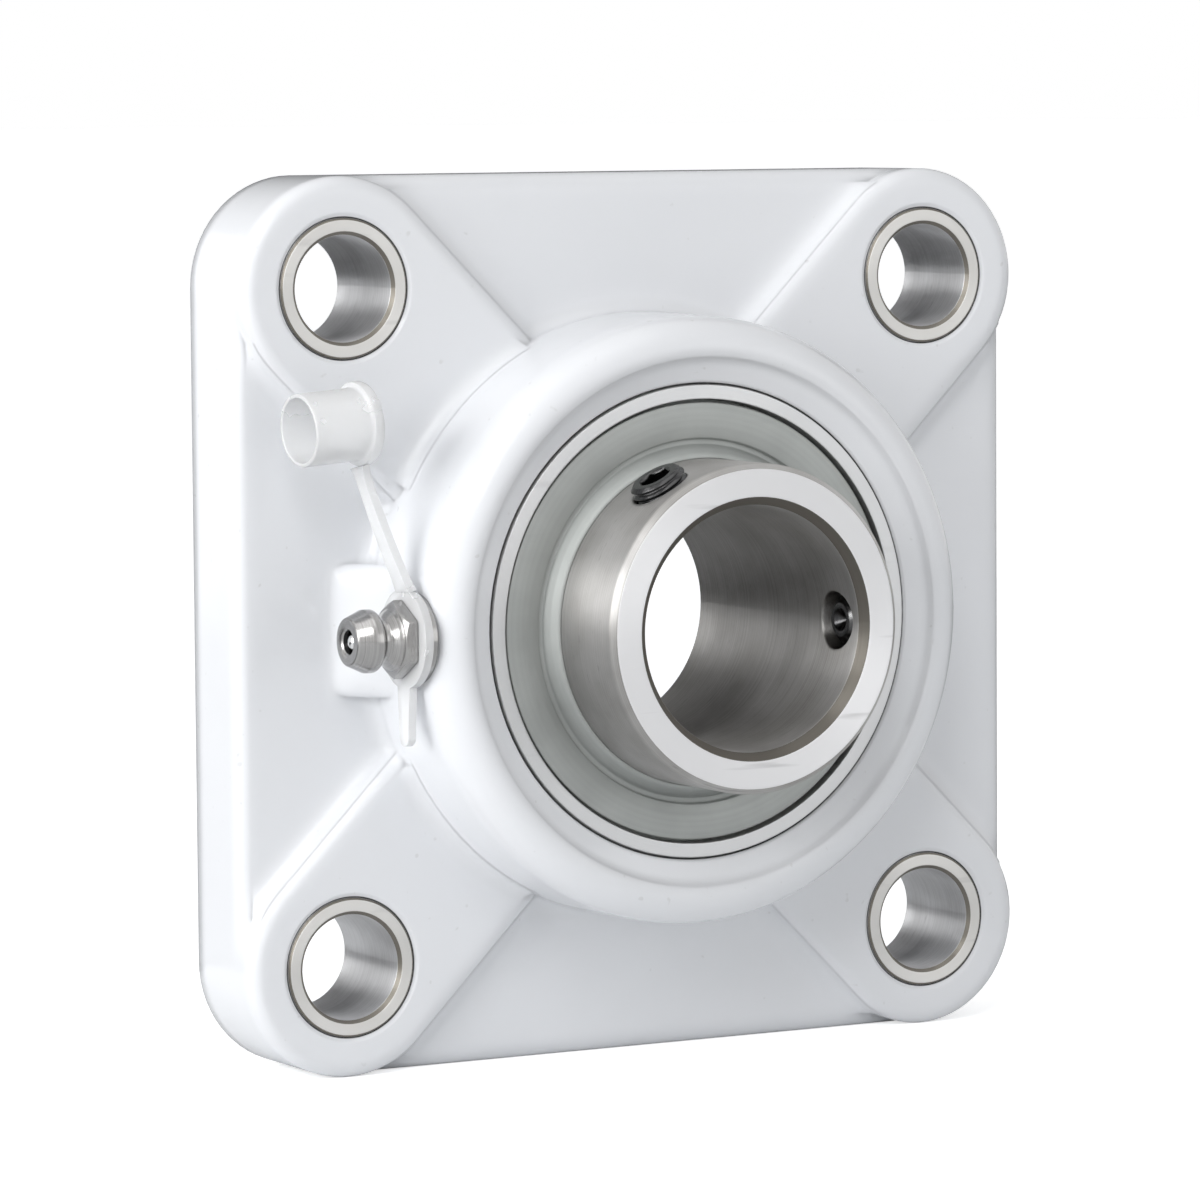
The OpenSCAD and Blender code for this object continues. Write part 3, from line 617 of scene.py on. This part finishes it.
# The cup, hanging open: thin walls, and a collar round its closed end
CUP_AXIS = Vector((-0.99513, -0.06976, -0.06959)).normalized()
AT_CUP = (
    Matrix.Translation(vector(-36.003, -18.458, 21.542)) @ CUP_AXIS.to_track_quat("Z", "Y").to_matrix().to_4x4()
)
CUP_PROFILE = [
    (0.3, 0.0), (3.95, 0.0), (4.22, 0.07), (4.34, 0.3), (4.34, 0.9), (4.24, 1.12), (4.02, 1.2), (3.9, 1.22),
    (3.79, 1.32), (3.74, 1.5), (3.74, 7.52), (3.69, 7.64), (3.58, 7.7), (3.44, 7.7), (3.34, 7.64), (3.3, 7.52),
    (3.3, 1.6), (3.2, 1.3), (2.95, 1.2), (0.3, 1.2),
]
cup = turned("cap_cup_piece", CUP_PROFILE, place=AT_CUP)
smooth(cup, 40)
dress(cup, cap_plastic, "cap_body", "cap_cup")

# The strap from the ring to the cup's collar: a flat bar drawn out between two points, bowed a little, narrowed
# towards the cup and flared where it meets the ring and the collar
strap_low, strap_high = vector(-32.4, NIPPLE_Y, 4.25), vector(-36.55, -18.52, 17.15)
LOW_WIDTH, HIGH_WIDTH, THICKNESS, BOW = 2.7, 2.05, 0.86, 0.18
bpy.ops.mesh.primitive_cube_add(size=MM, location=(0, 0, 0))
strap = start_piece("cap_strap_piece")
bpy.ops.mesh.select_all(action="DESELECT")
bpy.ops.object.mode_set(mode="OBJECT")
for edge in strap.data.edges:
    a, b = (strap.data.vertices[i].co for i in edge.vertices)
    edge.select = abs(a.z - b.z) > 0.5 * MM
bpy.ops.object.mode_set(mode="EDIT")
bpy.ops.mesh.subdivide(number_cuts=23)
end_piece(strap)
along = strap_high - strap_low
across = Vector((0, 1, 0)) - along * (along.y / along.length_squared)
across.normalize()
outwards = along.normalized().cross(across)
for vertex in strap.data.vertices:
    share = vertex.co.z / MM + 0.5
    flare = 0.6 * max(0, 1 - share / 0.14) ** 2 + 1.1 * max(0, (share - 0.88) / 0.12) ** 2
    width = LOW_WIDTH + (HIGH_WIDTH - LOW_WIDTH) * min(share / 0.8, 1) + flare
    bow = BOW * math.sin(math.pi * share)
    vertex.co = (
        strap_low + along * share + across * (vertex.co.y * width)
        + outwards * (vertex.co.x * THICKNESS) + outwards * (bow * MM)
    )
activate(strap)
bpy.ops.object.mode_set(mode="EDIT")
close_shell()
end_piece(strap)
soften_moulding(strap)
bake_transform(strap)
dress(strap, cap_plastic, None, "cap_strap")

# Floor: plain white, and lighter still where the camera sees it
FLOOR_Z, FLOOR_GLOW = -0.0465, 0.58
bpy.ops.mesh.primitive_plane_add(size=60, location=(0, 0, FLOOR_Z))
floor = end_piece(start_piece("floor"))
floor_white, tree, shader = new_material("floor_white")
seen = node(tree, "ShaderNodeLightPath", {}).outputs["Is Camera Ray"]
fill(tree, shader, {
    "Base Color": (0.86, 0.87, 0.88, 1), "Roughness": 0.8, "Emission Color": (1, 1, 1, 1),
    "Emission Strength": math_node(tree, "MULTIPLY", seen, FLOOR_GLOW),
})
floor.data.materials.append(floor_white)

# White surroundings: at full level where they are seen, through or in a surface, and dimmer as fill light
FILL_LEVEL, SEEN_LEVEL = 0.42, 1.0
world = bpy.data.worlds.new("studio")
bpy.context.scene.world = world
world.use_nodes = True
tree = world.node_tree
ray = node(tree, "ShaderNodeLightPath", {}).outputs
direct = math_node(tree, "MAXIMUM", ray["Is Camera Ray"], ray["Is Transmission Ray"])
direct = math_node(tree, "MAXIMUM", direct, ray["Is Glossy Ray"])
fill(tree, tree.nodes["Background"], {
    "Color": (1, 1, 1, 1), "Strength": ramp(tree, direct, 0, 1, FILL_LEVEL, SEEN_LEVEL),
})

# Lamps, all aimed at the same point: name, place, width, height and power
AIM = Vector((0, -0.02, 0))
for name, place, width, height, power in (
    ("softbox_left", (-1.2, -0.15, 0.35), 0.9, 0.6, 10.5),
    ("strip_left", (-1.0, -0.5, 0.45), 0.02, 0.35, 0.6),
    ("softbox_front", (-0.66, -0.9, 0.85), 0.35, 0.6, 4.2),
    ("softbox_top", (-0.1, -0.35, 1.1), 0.9, 0.7, 1.4),
    ("softbox_right", (0.75, -1.1, 0.15), 0.7, 0.9, 1.5),
):
    lamp = bpy.data.lights.new(name, "AREA")
    lamp.shape = "RECTANGLE"
    lamp.size, lamp.size_y = width, height
    lamp.energy = power
    holder = bpy.data.objects.new(name, lamp)
    bpy.context.scene.collection.objects.link(holder)
    holder.location = place
    holder.rotation_euler = (AIM - Vector(place)).to_track_quat("-Z", "Y").to_euler()

# Black cards behind the object, as a photographer sets them to draw steel: only reflections show them
UPRIGHT, LYING = (math.pi / 2, 0, 0), (0, 0, 0)
card_black, tree, shader = new_material("card_black")
fill(tree, shader, {"Base Color": (0.03, 0.03, 0.032, 1), "Roughness": 1.0})
for name, place, turn, width, height in (
    ("card_above", (0.1, 0.5, 0.56), UPRIGHT, 1.2, 0.64),
    ("card_right", (0.28, 0.5, 0.1), UPRIGHT, 0.84, 0.3),
    ("card_below", (0.1, 0.28, FLOOR_Z + 0.001), LYING, 1.2, 0.46),
):
    bpy.ops.mesh.primitive_plane_add(size=1, location=place, rotation=turn)
    card = start_piece(name)
    bpy.ops.transform.resize(value=(width, height, 1), orient_type="LOCAL")
    end_piece(card)
    card.data.materials.append(card_black)
    card.visible_camera = card.visible_diffuse = card.visible_shadow = False

# The camera's place, aim, roll and lens were fitted to the bolt holes and rings in the photograph
CAMERA_TARGET = vector(-5.32, -12.5, 1.69)
AZIMUTH, ELEVATION, ROLL, DISTANCE = math.radians(-29.322), math.radians(4.670), math.radians(-0.427), 0.6348
FOCAL_PIXELS, PICTURE_PIXELS, SENSOR_WIDTH = 6040.5, 1200, 36
towards = Vector(
    (math.sin(AZIMUTH) * math.cos(ELEVATION), -math.cos(AZIMUTH) * math.cos(ELEVATION), math.sin(ELEVATION))
)
right = Vector((0, 0, 1)).cross(towards).normalized()
up = towards.cross(right)
rolled_right = right * math.cos(ROLL) + up * math.sin(ROLL)
rolled_up = up * math.cos(ROLL) - right * math.sin(ROLL)
axes = Matrix((rolled_right, rolled_up, towards)).transposed().to_4x4()
camera_data = bpy.data.cameras.new("camera")
camera_data.sensor_width = SENSOR_WIDTH
camera_data.lens = FOCAL_PIXELS / PICTURE_PIXELS * SENSOR_WIDTH
camera_data.clip_start = 0.01
camera = bpy.data.objects.new("camera", camera_data)
bpy.context.scene.collection.objects.link(camera)
camera.matrix_world = Matrix.Translation(CAMERA_TARGET + towards * DISTANCE) @ axes
bpy.context.scene.camera = camera

bpy.context.scene.view_settings.view_transform = "Standard"
